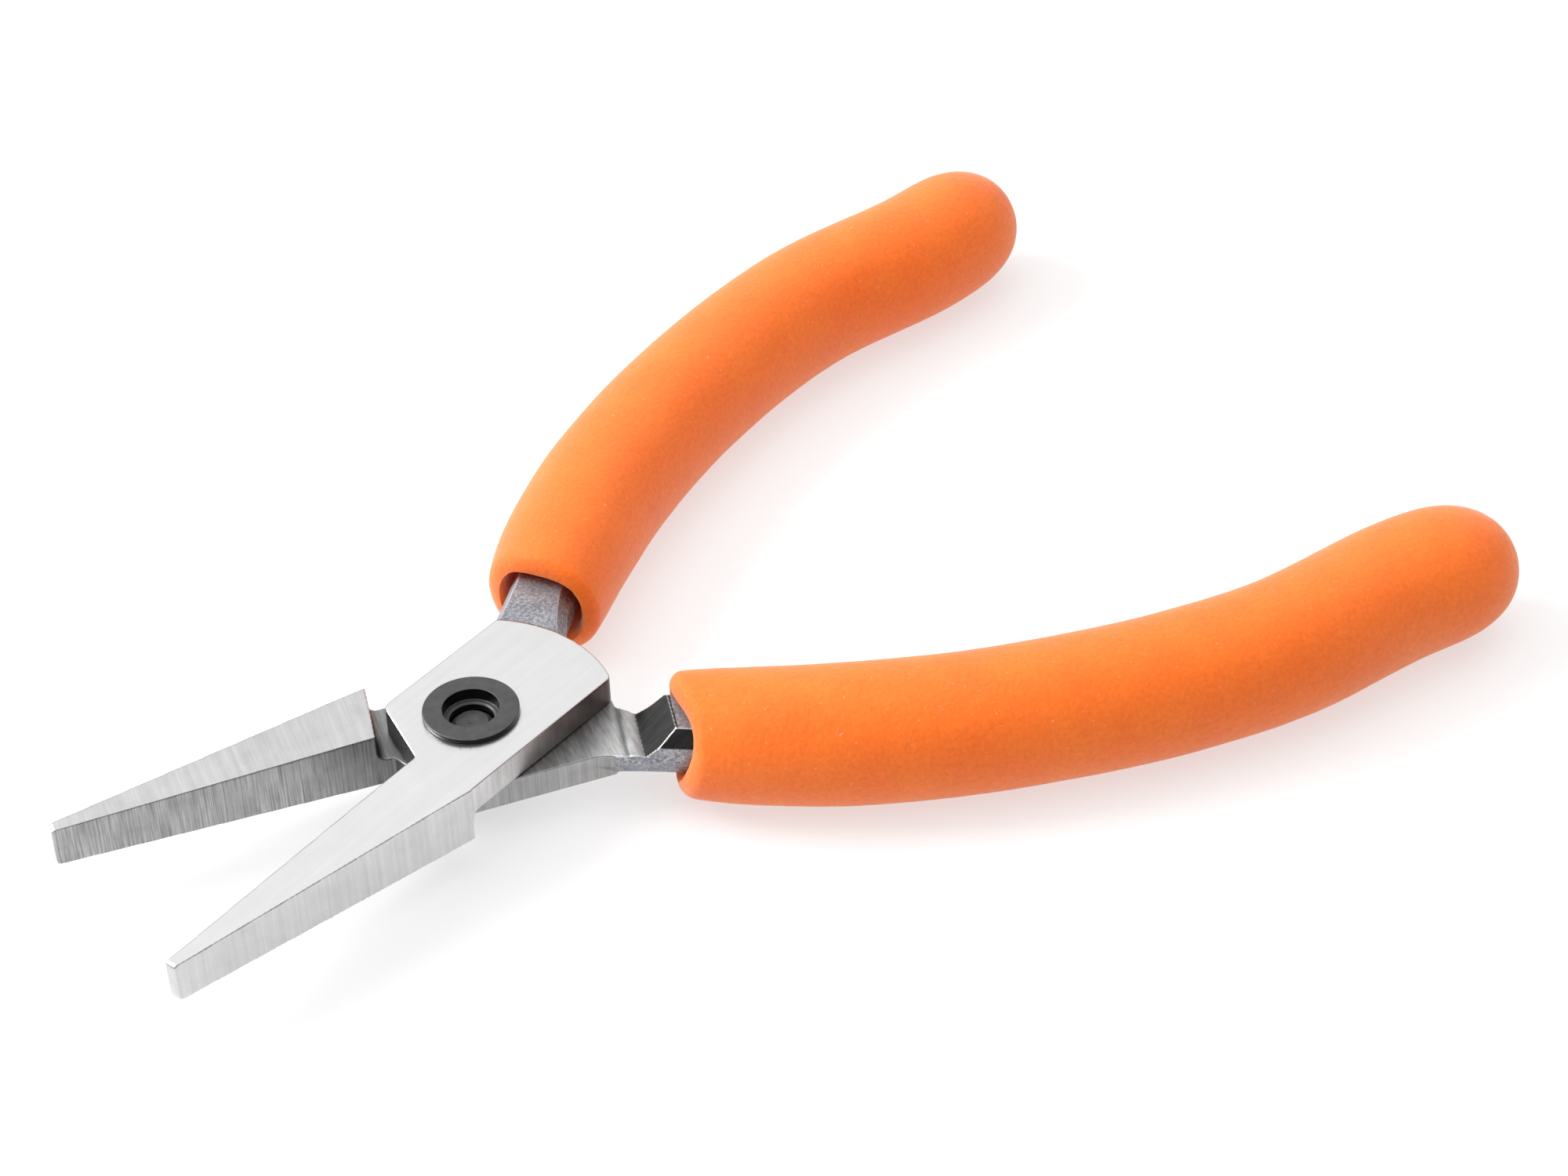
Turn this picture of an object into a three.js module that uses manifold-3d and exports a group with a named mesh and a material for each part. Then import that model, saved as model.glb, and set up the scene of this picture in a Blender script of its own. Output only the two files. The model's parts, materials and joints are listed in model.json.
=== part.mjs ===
// Flat nose pliers for jewellery making, shown half open.
//
// Frame: millimetres, +Z up, +X from the pivot toward the jaw tips. The origin is on the pivot
// axis, on the flat outer face of the pivot screw's head, which is the underside of the joint.
//
// The two levers are one forging used twice: the lower lever is the upper one turned half a turn
// about X. So each lever piece is drawn once, in the closed tool, as the upper lever: its jaw is
// at +Y, its handle at -Y, and its half of the lap joint above the mid-plane z = 0.

import * as THREE from 'three';
import { mergeVertices } from 'three/addons/utils/BufferGeometryUtils.js';
import Module from 'manifold-3d';

// ---- driving dimensions -------------------------------------------------------------------

const HALF_OPENING = THREE.MathUtils.degToRad(15.3); // each lever's turn from the closed tool

const HALF_JOINT = 2.7; // half the thickness of the closed joint
const LAP_GAP = 0.1; // between the two lap plates
const PLATE_HALF_WIDTH = 6.65;
const PLATE_REAR_RADIUS = 12.55; // round rear end of the plate, about the pivot
const PLATE_CORNER_RADIUS = 0.9; // where the jaw's side of the plate meets the rear arc
const FRONT_CORNER_X = 3.9; // where the handle's side of the plate meets its front edge
const FRONT_CORNER_EASE = 0.7; // the rounding there, along each edge
const EDGE_BREAK = 0.1; // small chamfers on turned edges

const TIP_X = 36.6;
const TIP_WIDTH = 1.1;
const TIP_HALF_THICKNESS = 1.9;
const TIP_OUTER_RADIUS = 0.4; // rounding of the tip's outer corners
const TIP_INNER_RADIUS = 0.15; // and of the edge between the tip and the gripping face
const JAW_GAP = 0.1; // between the gripping faces of the closed tool
const JAW_ROOT_X = 7.14; // where the plate's front edge meets the gripping face
const JAW_ROOT_EASE = 0.3; // the rounding there, along each edge
const SHOULDER_INNER_X = 8.52; // rear face of the full-thickness jaw, at the gripping face
const SHOULDER_OUTER_X = 7.52; // and at the jaw's outer side
const SHOULDER_WIDTH = 6.72; // jaw width there
const SHOULDER_STEP = 0.04; // the plate's side lies this far inside the jaw's
const SHOULDER_BLEND = 5; // length over which the plate's side turns from the taper to parallel
const SHOULDER_FILLET = 0.9;

const TANG_HALF_WIDTH = 3.05; // octagonal section of the tang and the handle core
const TANG_FLAT_HALF_WIDTH = 2.1;
const TANG_HALF_HEIGHT = 2.55;
const TANG_SIDE_HALF_HEIGHT = 0.95;
const TANG_ROOT_FLARE = 1.7; // extra half width where the tang leaves the plate, outer side
const TANG_INNER_FLARE = 0.9; // and on the side toward the other handle
const TANG_FLARE_LENGTH = 9;
const CORE_TAPER = 0.72; // section scale at the core's far end
const CORE_LENGTH = 79;

const LAND_END_X = 14.1; // the lap face runs back to here, then ramps to full thickness
const RAMP_RUN = 2.65;
const RAMP_SKEW = THREE.MathUtils.degToRad(10); // the ramp's turn from square to X
const RIDGE_X = 13.25;
const RIDGE_WIDTH = 1.2;
const RIDGE_HEIGHT = 0.12;
const RIDGE_FULL_Y = -1.2; // nearer the centre line the ridge stays clear of the other tang
const RIDGE_LOW_CLEARANCE = 0.02; // of its lowered stretch, from the mid-plane
const RELIEF_RADIUS = 6.4; // hollow on the neck's inner side, behind the plate
const RELIEF_PLACE = 4.6; // distance along the handle's centre line of its deepest point
const RELIEF_HALF_WIDTH = 2.1; // what it leaves there, from the centre line
const RELIEF_TOP = 1.2; // it stops this far above the mid-plane
const WHEEL_RADIUS = 3.2; // run-out left by grinding the plate's side
const WHEEL_X = 8.6;

const GRIP_START = 8.55; // distance along the handle's centre line from its root
const GRIP_MOUTH_RADIUS = 5.65;
const GRIP_BODY_RADIUS = 6.3;
const GRIP_END_RADIUS = 6.5;
const GRIP_FLATTEN = 0.97; // height over width
const GRIP_LIP_RADIUS = 1.5;
const GRIP_MOUTH_TILT = 0.25; // the mouth's slope, inner side nearer the pivot
const GRIP_TILT_FADE = 14; // distance over which the slope dies away
const GRIP_CAP_LENGTH = 9.2;
const GRIP_CAP_SQUARENESS = 2.4; // power of the domed end's superellipse
const LOWER_GRIP_SLIP = 0.9; // the lower sleeve sits this much nearer the pivot
const MOUTH_DENT = 1.5; // how far the lower sleeve's end is pushed back at its deepest
const MOUTH_DENT_ANGLE = THREE.MathUtils.degToRad(40); // where, up from its outer side
const MOUTH_DENT_FADE = 10; // distance over which the dent dies away
const BORE_HALF_WIDTH = 3.7; // the bore follows the tang's section, a rounded oblong
const BORE_HALF_HEIGHT = 3.25;
const BORE_SQUARENESS = 2.8; // power of its superellipse
const BORE_MOUTH_CHAMFER = 0.4;
const BORE_MOUTH_DEPTH = 0.8;
const BORE_TAPER_START = 2; // depth at which the bore's slow taper starts
const BORE_END_ROOM = 0.5; // past the core's end
const BORE_END_SCALE = 0.78; // section scale at the bore's closed end

const FLANGE_RADIUS = 4.2;
const FLANGE_THICKNESS = 0.46;
const FLANGE_CLEARANCE = 0.05;
const FLANGE_EDGE = 0.16; // rounding of the flange's rim
const BARREL_RADIUS = 3.1;
const BARREL_END_GAP = 0.3; // from the barrel's foot to the lower lever's outer face
const PIVOT_CLEARANCE = 0.1; // radial, barrel in the plates
const COUNTERBORE_RADIUS = 2.45;
const COUNTERBORE_DEPTH = 1.15;
const THREAD_RADIUS = 1.95;
const SHANK_RADIUS = 1.85;
const SHANK_END_RADIUS = 1.6;
const SHANK_RECESS = 1.5; // from the nut's face down to the screw's end
const SPANNER_HOLE_RADIUS = 0.5;
const SPANNER_HOLE_OFFSET = 2.4;
const SPANNER_HOLE_DEPTH = 0.3;

const MID_PLANE_Z = HALF_JOINT + FLANGE_CLEARANCE + FLANGE_THICKNESS;

// The handle's centre line in the closed tool, from inside the plate to the grip's end.
const HANDLE_LINE = new THREE.CatmullRomCurve3([
  new THREE.Vector3(-9.5, -2.3, 0),
  new THREE.Vector3(-17.1, -7.1, 0),
  new THREE.Vector3(-33.0, -13.4, 0),
  new THREE.Vector3(-51.8, -16.8, 0),
  new THREE.Vector3(-68.6, -16.8, 0),
  new THREE.Vector3(-82.9, -13.5, 0),
  new THREE.Vector3(-95.0, -12.5, 0),
]);
HANDLE_LINE.arcLengthDivisions = 400;
const GRIP_LENGTH = HANDLE_LINE.getLength() - GRIP_START;

const BEYOND = 20; // reach of a cutting tool past the piece it cuts

// ---- solids -------------------------------------------------------------------------------

const wasm = await Module();
wasm.setup();

// A closed three.js geometry as a solid for joining and cutting.
function solid(geometry) {
  const bare = geometry.clone();
  bare.deleteAttribute('normal');
  bare.deleteAttribute('uv');
  const merged = mergeVertices(bare, 1e-4);
  return new wasm.Manifold(
    new wasm.Mesh({
      numProp: 3,
      vertProperties: new Float32Array(merged.getAttribute('position').array),
      triVerts: new Uint32Array(merged.index.array),
    }),
  );
}

function geometryOf(manifold) {
  const mesh = manifold.getMesh();
  const geometry = new THREE.BufferGeometry();
  geometry.setAttribute('position', new THREE.BufferAttribute(mesh.vertProperties, 3));
  geometry.setIndex(new THREE.BufferAttribute(mesh.triVerts, 1));
  geometry.computeVertexNormals();
  return geometry;
}

// An outline extruded from z = low to z = high.
function prism(shape, low, high, curveSegments = 8) {
  const options = { depth: high - low, bevelEnabled: false, curveSegments };
  return new THREE.ExtrudeGeometry(shape, options).translate(0, 0, low);
}

// An outline drawn in X and Z, extruded along Y from -halfWidth to halfWidth.
function sidePrism(shape, halfWidth, curveSegments = 8) {
  return prism(shape, -halfWidth, halfWidth, curveSegments).rotateX(Math.PI / 2);
}

// A solid box between two corners.
function block(lowX, lowY, lowZ, highX, highY, highZ) {
  const size = new THREE.Vector3(highX - lowX, highY - lowY, highZ - lowZ);
  const box = new THREE.BoxGeometry(size.x, size.y, size.z);
  return solid(box.translate(lowX + size.x / 2, lowY + size.y / 2, lowZ + size.z / 2));
}

// A closed polygon whose corners [x, y, radius] are rounded where a radius is given.
function roundedShape(corners) {
  const shape = new THREE.Shape();
  corners.forEach(([x, y, radius = 0], i) => {
    const corner = new THREE.Vector2(x, y);
    const [px, py] = corners.at(i - 1);
    const [nx, ny] = corners[(i + 1) % corners.length];
    const back = new THREE.Vector2(px - x, py - y).normalize();
    const ahead = new THREE.Vector2(nx - x, ny - y).normalize();
    const halfAngle = Math.acos(THREE.MathUtils.clamp(back.dot(ahead), -1, 1)) / 2;
    const setBack = radius / Math.tan(halfAngle);
    const enter = corner.clone().addScaledVector(back, setBack);
    const leave = corner.clone().addScaledVector(ahead, setBack);
    if (i === 0) shape.moveTo(enter.x, enter.y);
    else shape.lineTo(enter.x, enter.y);
    if (radius > 0) {
      const inward = back.clone().add(ahead).normalize();
      const centre = corner.clone().addScaledVector(inward, radius / Math.sin(halfAngle));
      const from = Math.atan2(enter.y - centre.y, enter.x - centre.x);
      const to = Math.atan2(leave.y - centre.y, leave.x - centre.x);
      shape.absarc(centre.x, centre.y, radius, from, to, back.cross(ahead) > 0);
    }
  });
  shape.closePath();
  return shape;
}

// Bends a straight piece, drawn along +Z, onto the handle's centre line, starting at start.
// scale(s) changes its section all round, widen(s, side) its half width on one side only, and
// shear(s) is the slope of its cross-sections. The side is 1 away from the other handle.
function bend(geometry, start, { scale = () => 1, widen = () => 0, shear = () => 0 }) {
  const total = HANDLE_LINE.getLength();
  const position = geometry.getAttribute('position');
  const point = new THREE.Vector3();
  const tangent = new THREE.Vector3();
  for (let i = 0; i < position.count; i += 1) {
    const s = position.getZ(i);
    const side = Math.sign(position.getX(i));
    const across = position.getX(i) * scale(s) + side * widen(s, side);
    const u = Math.min(1, (start + s + across * shear(s)) / total);
    HANDLE_LINE.getPointAt(u, point);
    HANDLE_LINE.getTangentAt(u, tangent);
    const up = position.getY(i) * scale(s);
    position.setXYZ(i, point.x - tangent.y * across, point.y + tangent.x * across, up);
  }
  return geometry;
}

// ---- lever --------------------------------------------------------------------------------

// The lap plate with the upper half of the jaw, seen from above.
function plateOutline() {
  const filletY = PLATE_HALF_WIDTH - PLATE_CORNER_RADIUS;
  const filletX = -Math.sqrt((PLATE_REAR_RADIUS - PLATE_CORNER_RADIUS) ** 2 - filletY ** 2);
  const filletAngle = Math.atan2(filletY, filletX);
  const shape = new THREE.Shape();
  shape.moveTo(TIP_X, JAW_GAP / 2);
  shape.lineTo(TIP_X, TIP_WIDTH);
  shape.lineTo(SHOULDER_OUTER_X, SHOULDER_WIDTH - SHOULDER_STEP);
  const blendEndX = SHOULDER_OUTER_X - SHOULDER_BLEND;
  const blendMiddleX = SHOULDER_OUTER_X - 0.4 * SHOULDER_BLEND;
  shape.quadraticCurveTo(blendMiddleX, PLATE_HALF_WIDTH, blendEndX, PLATE_HALF_WIDTH);
  shape.lineTo(filletX, PLATE_HALF_WIDTH);
  shape.absarc(filletX, filletY, PLATE_CORNER_RADIUS, Math.PI / 2, filletAngle, false);
  const squareCorner = Math.PI + Math.asin(PLATE_HALF_WIDTH / PLATE_REAR_RADIUS);
  shape.absarc(0, 0, PLATE_REAR_RADIUS, filletAngle, squareCorner, false);
  shape.lineTo(FRONT_CORNER_X - FRONT_CORNER_EASE, -PLATE_HALF_WIDTH);
  const cornerEndX = FRONT_CORNER_X + FRONT_CORNER_EASE / 2;
  const cornerEndY = -PLATE_HALF_WIDTH + FRONT_CORNER_EASE;
  shape.quadraticCurveTo(FRONT_CORNER_X, -PLATE_HALF_WIDTH, cornerEndX, cornerEndY);
  shape.lineTo(JAW_ROOT_X - JAW_ROOT_EASE / 2, JAW_GAP / 2 - JAW_ROOT_EASE);
  shape.quadraticCurveTo(JAW_ROOT_X, JAW_GAP / 2, JAW_ROOT_X + JAW_ROOT_EASE, JAW_GAP / 2);
  shape.closePath();
  return shape;
}

// The full-thickness jaw, seen from above.
function jawOutline() {
  return roundedShape([
    [TIP_X, JAW_GAP / 2, TIP_INNER_RADIUS],
    [TIP_X, TIP_WIDTH, TIP_OUTER_RADIUS],
    [SHOULDER_OUTER_X, SHOULDER_WIDTH],
    [SHOULDER_INNER_X, JAW_GAP / 2],
  ]);
}

// Plate and jaw seen from the side: parallel over the joint, then tapering to the tip.
function sideOutline() {
  const rear = -PLATE_REAR_RADIUS - 1;
  return roundedShape([
    [rear, -HALF_JOINT],
    [SHOULDER_INNER_X, -HALF_JOINT],
    [TIP_X, -TIP_HALF_THICKNESS, TIP_OUTER_RADIUS],
    [TIP_X, TIP_HALF_THICKNESS, TIP_OUTER_RADIUS],
    [SHOULDER_INNER_X, HALF_JOINT],
    [rear, HALF_JOINT],
  ]);
}

// Concave fillet in the corner between the plate's lap face and the jaw's shoulder, ending at
// the gripping face.
function shoulderFillet() {
  const run = new THREE.Vector2(
    SHOULDER_OUTER_X - SHOULDER_INNER_X,
    SHOULDER_WIDTH - JAW_GAP / 2,
  );
  const section = new THREE.Shape();
  const overlap = 0.2; // into the jaw and the plate
  section.moveTo(overlap, overlap);
  section.lineTo(-SHOULDER_FILLET, overlap);
  section.lineTo(-SHOULDER_FILLET, 0);
  section.absarc(-SHOULDER_FILLET, -SHOULDER_FILLET, SHOULDER_FILLET, Math.PI / 2, 0, true);
  section.lineTo(overlap, -SHOULDER_FILLET);
  section.closePath();
  const bar = prism(section, -run.length(), 0, 6)
    .rotateX(Math.PI / 2)
    .rotateZ(run.angle() - Math.PI / 2)
    .translate(SHOULDER_INNER_X, JAW_GAP / 2, LAP_GAP / 2);
  const pastFace = block(-BEYOND, -BEYOND, -BEYOND, BEYOND, JAW_GAP / 2, BEYOND);
  return solid(bar).subtract(pastFace);
}

// Tang and handle core, one octagonal bar along the handle's centre line.
function handleBar() {
  const section = roundedShape([
    [TANG_HALF_WIDTH, -TANG_SIDE_HALF_HEIGHT],
    [TANG_HALF_WIDTH, TANG_SIDE_HALF_HEIGHT],
    [TANG_FLAT_HALF_WIDTH, TANG_HALF_HEIGHT],
    [-TANG_FLAT_HALF_WIDTH, TANG_HALF_HEIGHT],
    [-TANG_HALF_WIDTH, TANG_SIDE_HALF_HEIGHT],
    [-TANG_HALF_WIDTH, -TANG_SIDE_HALF_HEIGHT],
    [-TANG_FLAT_HALF_WIDTH, -TANG_HALF_HEIGHT],
    [TANG_FLAT_HALF_WIDTH, -TANG_HALF_HEIGHT],
  ]);
  const bar = new THREE.ExtrudeGeometry(section, {
    depth: CORE_LENGTH,
    steps: 40,
    bevelEnabled: false,
  });
  const taper = (s) => {
    const inside = Math.max(0, s - GRIP_START) / (CORE_LENGTH - GRIP_START);
    return 1 + (CORE_TAPER - 1) * inside;
  };
  const flare = (s, side) => {
    const root = side > 0 ? TANG_ROOT_FLARE : TANG_INNER_FLARE;
    return root * Math.max(0, 1 - s / TANG_FLARE_LENGTH) ** 2;
  };
  return solid(bend(bar, 0, { scale: taper, widen: flare }));
}

// The space below the lap face that the other lever's plate sweeps, back to the ramp.
function lapClearance() {
  const deep = -2 * HALF_JOINT;
  const slope = RAMP_RUN / TANG_HALF_HEIGHT;
  const outline = roundedShape([
    [-LAND_END_X, LAP_GAP / 2],
    [-LAND_END_X + slope * deep, deep],
    [BEYOND, deep],
    [BEYOND, LAP_GAP / 2],
  ]);
  return solid(sidePrism(outline, BEYOND).rotateZ(RAMP_SKEW));
}

// A low round-topped ridge across the lap face, behind the other lever's plate. The two tangs
// cross near the centre line when the tool closes, so the ridge is lowered there.
function lapRidge() {
  const root = LAP_GAP / 2 + RIDGE_HEIGHT; // inside the bar
  const outline = new THREE.Shape();
  outline.moveTo(-RIDGE_X - RIDGE_WIDTH / 2, root);
  outline.lineTo(-RIDGE_X - RIDGE_WIDTH / 2, LAP_GAP / 2);
  outline.quadraticCurveTo(
    -RIDGE_X,
    LAP_GAP / 2 - 2 * RIDGE_HEIGHT,
    -RIDGE_X + RIDGE_WIDTH / 2,
    LAP_GAP / 2,
  );
  outline.lineTo(-RIDGE_X + RIDGE_WIDTH / 2, root);
  outline.closePath();
  const ridge = solid(sidePrism(outline, BEYOND).rotateZ(RAMP_SKEW));
  const crossing = block(-BEYOND, RIDGE_FULL_Y, -BEYOND, 0, BEYOND, RIDGE_LOW_CLEARANCE);
  return ridge.subtract(crossing);
}

// The hollow on the neck's inner side, outside the plate's round end and below its outer face.
function neckRelief() {
  const along = RELIEF_PLACE / HANDLE_LINE.getLength();
  const point = HANDLE_LINE.getPointAt(along);
  const tangent = HANDLE_LINE.getTangentAt(along);
  const reach = RELIEF_HALF_WIDTH + RELIEF_RADIUS;
  const outline = new THREE.Shape();
  const centreX = point.x + tangent.y * reach;
  const centreY = point.y - tangent.x * reach;
  outline.absarc(centreX, centreY, RELIEF_RADIUS, 0, 2 * Math.PI, false);
  const hollow = solid(prism(outline, -2 * HALF_JOINT, RELIEF_TOP, 32));
  const disc = new THREE.Shape();
  disc.absarc(0, 0, PLATE_REAR_RADIUS, 0, 2 * Math.PI, false);
  return hollow.subtract(solid(prism(disc, -BEYOND, BEYOND, 48)));
}

// What the grinding wheel takes off the plate's side next to the handle, with its run-out.
function wheelClearance() {
  const axisY = -PLATE_HALF_WIDTH - WHEEL_RADIUS;
  const outline = new THREE.Shape();
  outline.moveTo(TIP_X, -PLATE_HALF_WIDTH);
  outline.lineTo(-WHEEL_X, -PLATE_HALF_WIDTH);
  outline.absarc(-WHEEL_X, axisY, WHEEL_RADIUS, Math.PI / 2, Math.PI, false);
  outline.lineTo(TIP_X, axisY);
  outline.closePath();
  return solid(prism(outline, -2 * HALF_JOINT, 2 * HALF_JOINT, 10));
}

function leverGeometry() {
  const plate = solid(prism(plateOutline(), LAP_GAP / 2, HALF_JOINT, 24));
  const jaw = solid(prism(jawOutline(), -HALF_JOINT, HALF_JOINT, 6));
  const envelope = solid(sidePrism(sideOutline(), BEYOND, 6));
  const head = plate.add(jaw).add(shoulderFillet()).intersect(envelope);
  const bar = handleBar();
  const ridge = lapRidge().intersect(bar);
  const lap = bar.subtract(lapClearance()).add(ridge);
  const handle = lap.subtract(wheelClearance()).subtract(neckRelief());
  const boreRadius = BARREL_RADIUS + PIVOT_CLEARANCE;
  const bore = new THREE.CylinderGeometry(boreRadius, boreRadius, 4 * HALF_JOINT, 48);
  return geometryOf(head.add(handle).subtract(solid(bore.rotateX(Math.PI / 2))));
}

// ---- grip ---------------------------------------------------------------------------------

// Sleeve radius at distance s from its mouth, up to the domed end.
function gripRadius(s) {
  const along = s / (GRIP_LENGTH - GRIP_CAP_LENGTH);
  const swell = 1 - (1 - Math.min(1, along * 4)) ** 2;
  return (
    GRIP_MOUTH_RADIUS +
    (GRIP_BODY_RADIUS - GRIP_MOUTH_RADIUS) * swell +
    (GRIP_END_RADIUS - GRIP_BODY_RADIUS) * along
  );
}

function gripProfile() {
  const points = [];
  const add = (radius, s) => points.push(new THREE.Vector2(radius, s));
  const boreEnd = CORE_LENGTH - GRIP_START + LOWER_GRIP_SLIP + BORE_END_ROOM;
  const boreSteps = 20;
  const lipSteps = 4;
  const bodySteps = 26;
  const capSteps = 8;
  add(0, boreEnd);
  for (let i = 0; i <= boreSteps; i += 1) {
    const t = 1 - i / boreSteps;
    const radius = BORE_HALF_WIDTH * (1 + (BORE_END_SCALE - 1) * t);
    add(radius, BORE_TAPER_START + (boreEnd - BORE_TAPER_START) * t);
  }
  add(BORE_HALF_WIDTH, BORE_MOUTH_DEPTH);
  add(BORE_HALF_WIDTH + BORE_MOUTH_CHAMFER, 0);
  for (let i = 0; i <= lipSteps; i += 1) {
    const angle = (i / lipSteps) * (Math.PI / 2);
    const rim = GRIP_MOUTH_RADIUS - GRIP_LIP_RADIUS;
    add(rim + GRIP_LIP_RADIUS * Math.sin(angle), GRIP_LIP_RADIUS * (1 - Math.cos(angle)));
  }
  const bodyEnd = GRIP_LENGTH - GRIP_CAP_LENGTH;
  for (let i = 1; i <= bodySteps; i += 1) {
    const s = GRIP_LIP_RADIUS + ((bodyEnd - GRIP_LIP_RADIUS) * i) / bodySteps;
    add(gripRadius(s), s);
  }
  for (let i = 1; i < capSteps; i += 1) {
    const angle = (i / capSteps) * (Math.PI / 2);
    const power = 2 / GRIP_CAP_SQUARENESS;
    const radius = GRIP_END_RADIUS * Math.cos(angle) ** power;
    add(radius, bodyEnd + GRIP_CAP_LENGTH * Math.sin(angle) ** power);
  }
  add(0, GRIP_LENGTH);
  return { points, boreEnd };
}

// Reshapes the sleeve's round bore to the tang's section.
function squareBore(geometry, boreEnd) {
  const position = geometry.getAttribute('position');
  const widest = BORE_HALF_WIDTH + BORE_MOUTH_CHAMFER;
  const flatness = BORE_HALF_HEIGHT / BORE_HALF_WIDTH;
  const rounding = 1e-4;
  for (let i = 0; i < position.count; i += 1) {
    const [x, y, s] = [position.getX(i), position.getY(i), position.getZ(i)];
    const radius = Math.hypot(x, y);
    if (radius > rounding && radius < widest + rounding && s < boreEnd + rounding) {
      const across = Math.abs(x / radius) ** BORE_SQUARENESS;
      const up = Math.abs(y / radius / flatness) ** BORE_SQUARENESS;
      const factor = (across + up) ** (-1 / BORE_SQUARENESS);
      position.setXY(i, x * factor, y * factor);
    }
  }
}

// Pushes the sleeve's end back by depth where its dent is deepest.
function dentMouth(geometry, depth) {
  const position = geometry.getAttribute('position');
  for (let i = 0; i < position.count; i += 1) {
    const [x, y, s] = [position.getX(i), position.getY(i), position.getZ(i)];
    const toward = x * Math.cos(MOUTH_DENT_ANGLE) - y * Math.sin(MOUTH_DENT_ANGLE);
    const share = Math.max(0, toward) / Math.max(Math.hypot(x, y), BORE_HALF_HEIGHT);
    const fade = Math.max(0, 1 - s / MOUTH_DENT_FADE) ** 2;
    position.setZ(i, s + depth * share ** 2 * fade);
  }
}

function gripGeometry(start, dent) {
  const { points, boreEnd } = gripProfile();
  const sleeve = new THREE.LatheGeometry(points, 32).rotateX(Math.PI / 2);
  sleeve.scale(1, GRIP_FLATTEN, 1);
  squareBore(sleeve, boreEnd);
  dentMouth(sleeve, dent);
  const shear = (s) => GRIP_MOUTH_TILT * Math.max(0, 1 - s / GRIP_TILT_FADE);
  return geometryOf(solid(bend(sleeve, start, { shear })));
}

// ---- pivot --------------------------------------------------------------------------------

const latheAboutZ = (profile) => new THREE.LatheGeometry(profile, 48).rotateX(Math.PI / 2);

// Threaded barrel nut: flange on the upper lever, barrel through both plates.
function nutGeometry() {
  const seat = HALF_JOINT + FLANGE_CLEARANCE;
  const face = seat + FLANGE_THICKNESS;
  const foot = -HALF_JOINT + BARREL_END_GAP;
  const profile = [
    [THREAD_RADIUS, foot],
    [BARREL_RADIUS, foot],
    [BARREL_RADIUS, seat],
    [FLANGE_RADIUS - EDGE_BREAK, seat],
    [FLANGE_RADIUS, seat + EDGE_BREAK],
    [FLANGE_RADIUS, face - FLANGE_EDGE],
    [FLANGE_RADIUS - 0.3 * FLANGE_EDGE, face - 0.3 * FLANGE_EDGE],
    [FLANGE_RADIUS - FLANGE_EDGE, face],
    [COUNTERBORE_RADIUS + EDGE_BREAK, face],
    [COUNTERBORE_RADIUS, face - EDGE_BREAK],
    [COUNTERBORE_RADIUS, face - COUNTERBORE_DEPTH],
    [THREAD_RADIUS + EDGE_BREAK, face - COUNTERBORE_DEPTH],
    [THREAD_RADIUS, face - COUNTERBORE_DEPTH - EDGE_BREAK],
    [THREAD_RADIUS, foot],
  ];
  return latheAboutZ(profile.map(([r, z]) => new THREE.Vector2(r, z)));
}

// Pivot screw: flanged head under the lower lever, shank up into the nut's thread.
function screwGeometry() {
  const seat = -HALF_JOINT - FLANGE_CLEARANCE;
  const face = seat - FLANGE_THICKNESS;
  const end = MID_PLANE_Z - SHANK_RECESS;
  const profile = [
    [0, face],
    [FLANGE_RADIUS - FLANGE_EDGE, face],
    [FLANGE_RADIUS, face + FLANGE_EDGE],
    [FLANGE_RADIUS, seat],
    [SHANK_RADIUS, seat],
    [SHANK_RADIUS, end - (SHANK_RADIUS - SHANK_END_RADIUS)],
    [SHANK_END_RADIUS, end],
    [0, end],
  ];
  let screw = solid(latheAboutZ(profile.map(([r, z]) => new THREE.Vector2(r, z))));
  for (const side of [-1, 1]) {
    const hole = new THREE.CylinderGeometry(
      SPANNER_HOLE_RADIUS,
      SPANNER_HOLE_RADIUS,
      2 * SPANNER_HOLE_DEPTH,
      16,
    );
    hole.rotateX(Math.PI / 2).translate(side * SPANNER_HOLE_OFFSET, 0, face);
    screw = screw.subtract(solid(hole));
  }
  return geometryOf(screw);
}

// ---- materials and assembly ---------------------------------------------------------------

const steel = () =>
  new THREE.MeshStandardMaterial({ color: 0xc9cacc, roughness: 0.32, metalness: 1 });
const foam = () =>
  new THREE.MeshStandardMaterial({ color: 0xee7a25, roughness: 0.85, metalness: 0 });
const blackened = () =>
  new THREE.MeshStandardMaterial({ color: 0x3b3c3e, roughness: 0.45, metalness: 0.8 });

function named(name, geometry, material) {
  const mesh = new THREE.Mesh(geometry, material);
  mesh.name = name;
  return mesh;
}

const upper = new THREE.Group();
upper.rotation.z = HALF_OPENING;
upper.add(named('lever_upper', leverGeometry(), steel()));
upper.add(named('grip_upper', gripGeometry(GRIP_START, 0), foam()));

const lower = new THREE.Group();
lower.rotation.set(Math.PI, 0, -HALF_OPENING, 'ZXY');
lower.add(named('lever_lower', leverGeometry(), steel()));
lower.add(named('grip_lower', gripGeometry(GRIP_START - LOWER_GRIP_SLIP, MOUTH_DENT), foam()));

const group = new THREE.Group();
group.name = 'flat_nose_pliers';
group.position.z = MID_PLANE_Z;
group.add(upper);
group.add(lower);
group.add(named('pivot_nut', nutGeometry(), blackened()));
group.add(named('pivot_screw', screwGeometry(), blackened()));

export default group;
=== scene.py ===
"""Flat nose pliers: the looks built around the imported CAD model.

The frame is the model's own: metres, +Z up along the pivot, +X toward the jaw tips. Materials and
meshes are drawn in a lever's own millimetres, so both levers share one set of functions.
"""

import json
import math

import bmesh
import bpy
import numpy as np
from mathutils import Matrix, Quaternion, Vector, noise


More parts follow.
